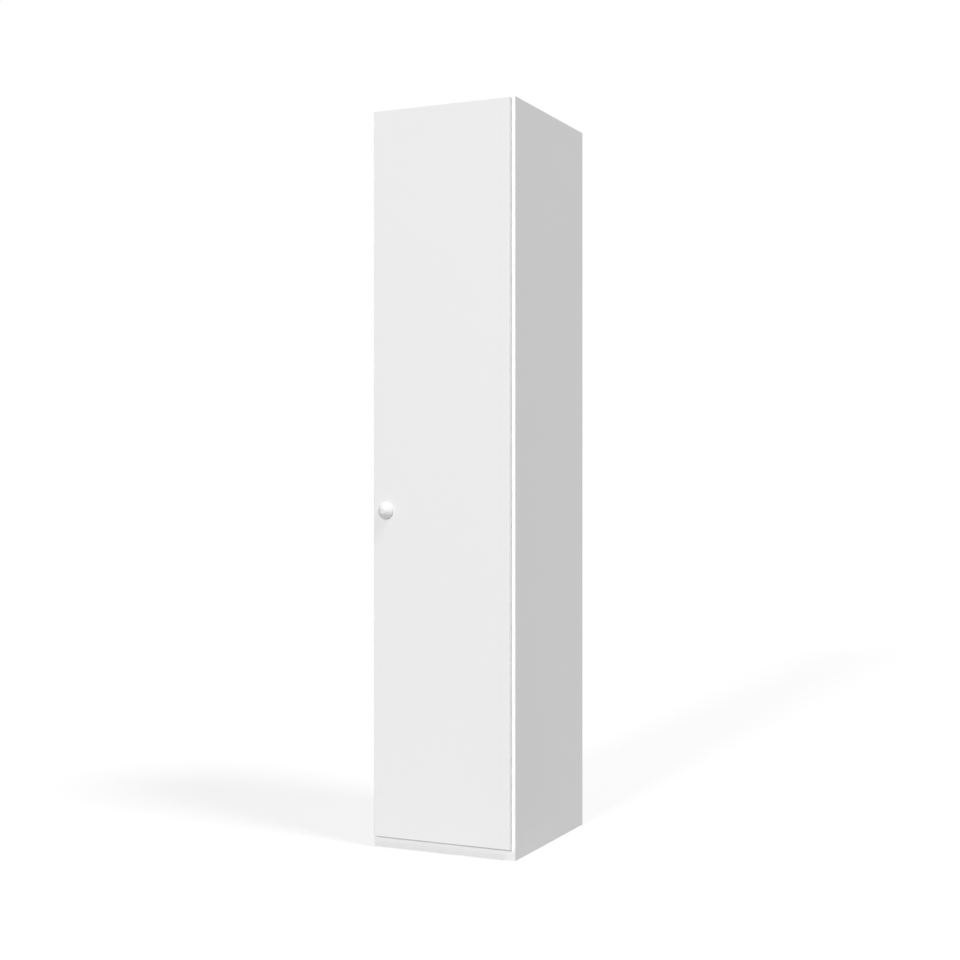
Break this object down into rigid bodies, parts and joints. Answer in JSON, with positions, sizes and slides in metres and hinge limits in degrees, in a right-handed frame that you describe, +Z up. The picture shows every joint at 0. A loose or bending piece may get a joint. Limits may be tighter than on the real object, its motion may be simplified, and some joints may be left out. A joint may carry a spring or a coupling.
{
  "type": "wardrobe",
  "caption": "Tall narrow white wardrobe with an overlay door hung on cup hinges, a round knob, a low plinth, a hat shelf and a clothes rail inside.",
  "frame": {"origin": "on the floor, at the middle of the outline seen from above, knob included", "axes": "+Z up, -Y out of the door's front, +X to the right of someone facing the door"},
  "size_m": [0.5, 0.623, 2.39],
  "materials": {
    "white_board": "melamine faced, fine matt grain",
    "white_door": "melamine faced, smooth satin",
    "white_hardboard": "thin painted fibreboard",
    "white_lacquer": "turned wood, satin white lacquer",
    "beech": "bare beech",
    "zinc_cast": "zinc die casting",
    "zinc_plated": "bright zinc plating",
    "nickel_plated": "satin nickel plating",
    "bright_steel": "drawn steel pin",
    "chromed_tube": "chromed steel tube",
    "white_plastic": "moulded white plastic",
    "magnet_ferrite": "dark ferrite magnet",
    "clear_rubber": "clear soft buttons"
  },
  "bodies": {
    "carcass": {"side_panel_left": "white_board", "side_panel_right": "white_board", "top_panel": "white_board", "bottom_panel": "white_board", "plinth": "white_board", "hat_shelf": "white_board", "back_panel": "white_hardboard", "back_panel_screws": "zinc_plated", "cam_locks": "zinc_cast", "cam_bolts": "zinc_plated", "dowels": "beech", "plinth_dowels": "beech", "shelf_pins": "nickel_plated", "clothes_rail": "chromed_tube", "rail_sockets": "nickel_plated", "rail_socket_screws": "zinc_plated", "hinge_arms": "nickel_plated", "hinge_plates": "nickel_plated", "hinge_plate_screws": "zinc_plated", "hinge_arm_screws": "zinc_plated", "catch_housings": "white_plastic", "catch_magnets": "magnet_ferrite", "catch_screws": "zinc_plated", "wall_bracket": "zinc_plated", "wall_bracket_screw": "zinc_plated"},
    "door": {"door_panel": "white_door", "door_knob": "white_lacquer", "knob_screw": "zinc_plated", "door_bumpers": "clear_rubber", "hinge_cups": "nickel_plated", "hinge_pins": "bright_steel", "hinge_cup_screws": "zinc_plated", "strike_plates": "zinc_plated", "strike_screws": "zinc_plated"}
  },
  "joints": [
    {"name": "door_swing", "type": "hinge", "parent": "carcass", "child": "door", "pos_m": [0.2295, -0.2795, 0.13], "axis": [0, 0, 1], "range_deg": [0, 100]}
  ]
}
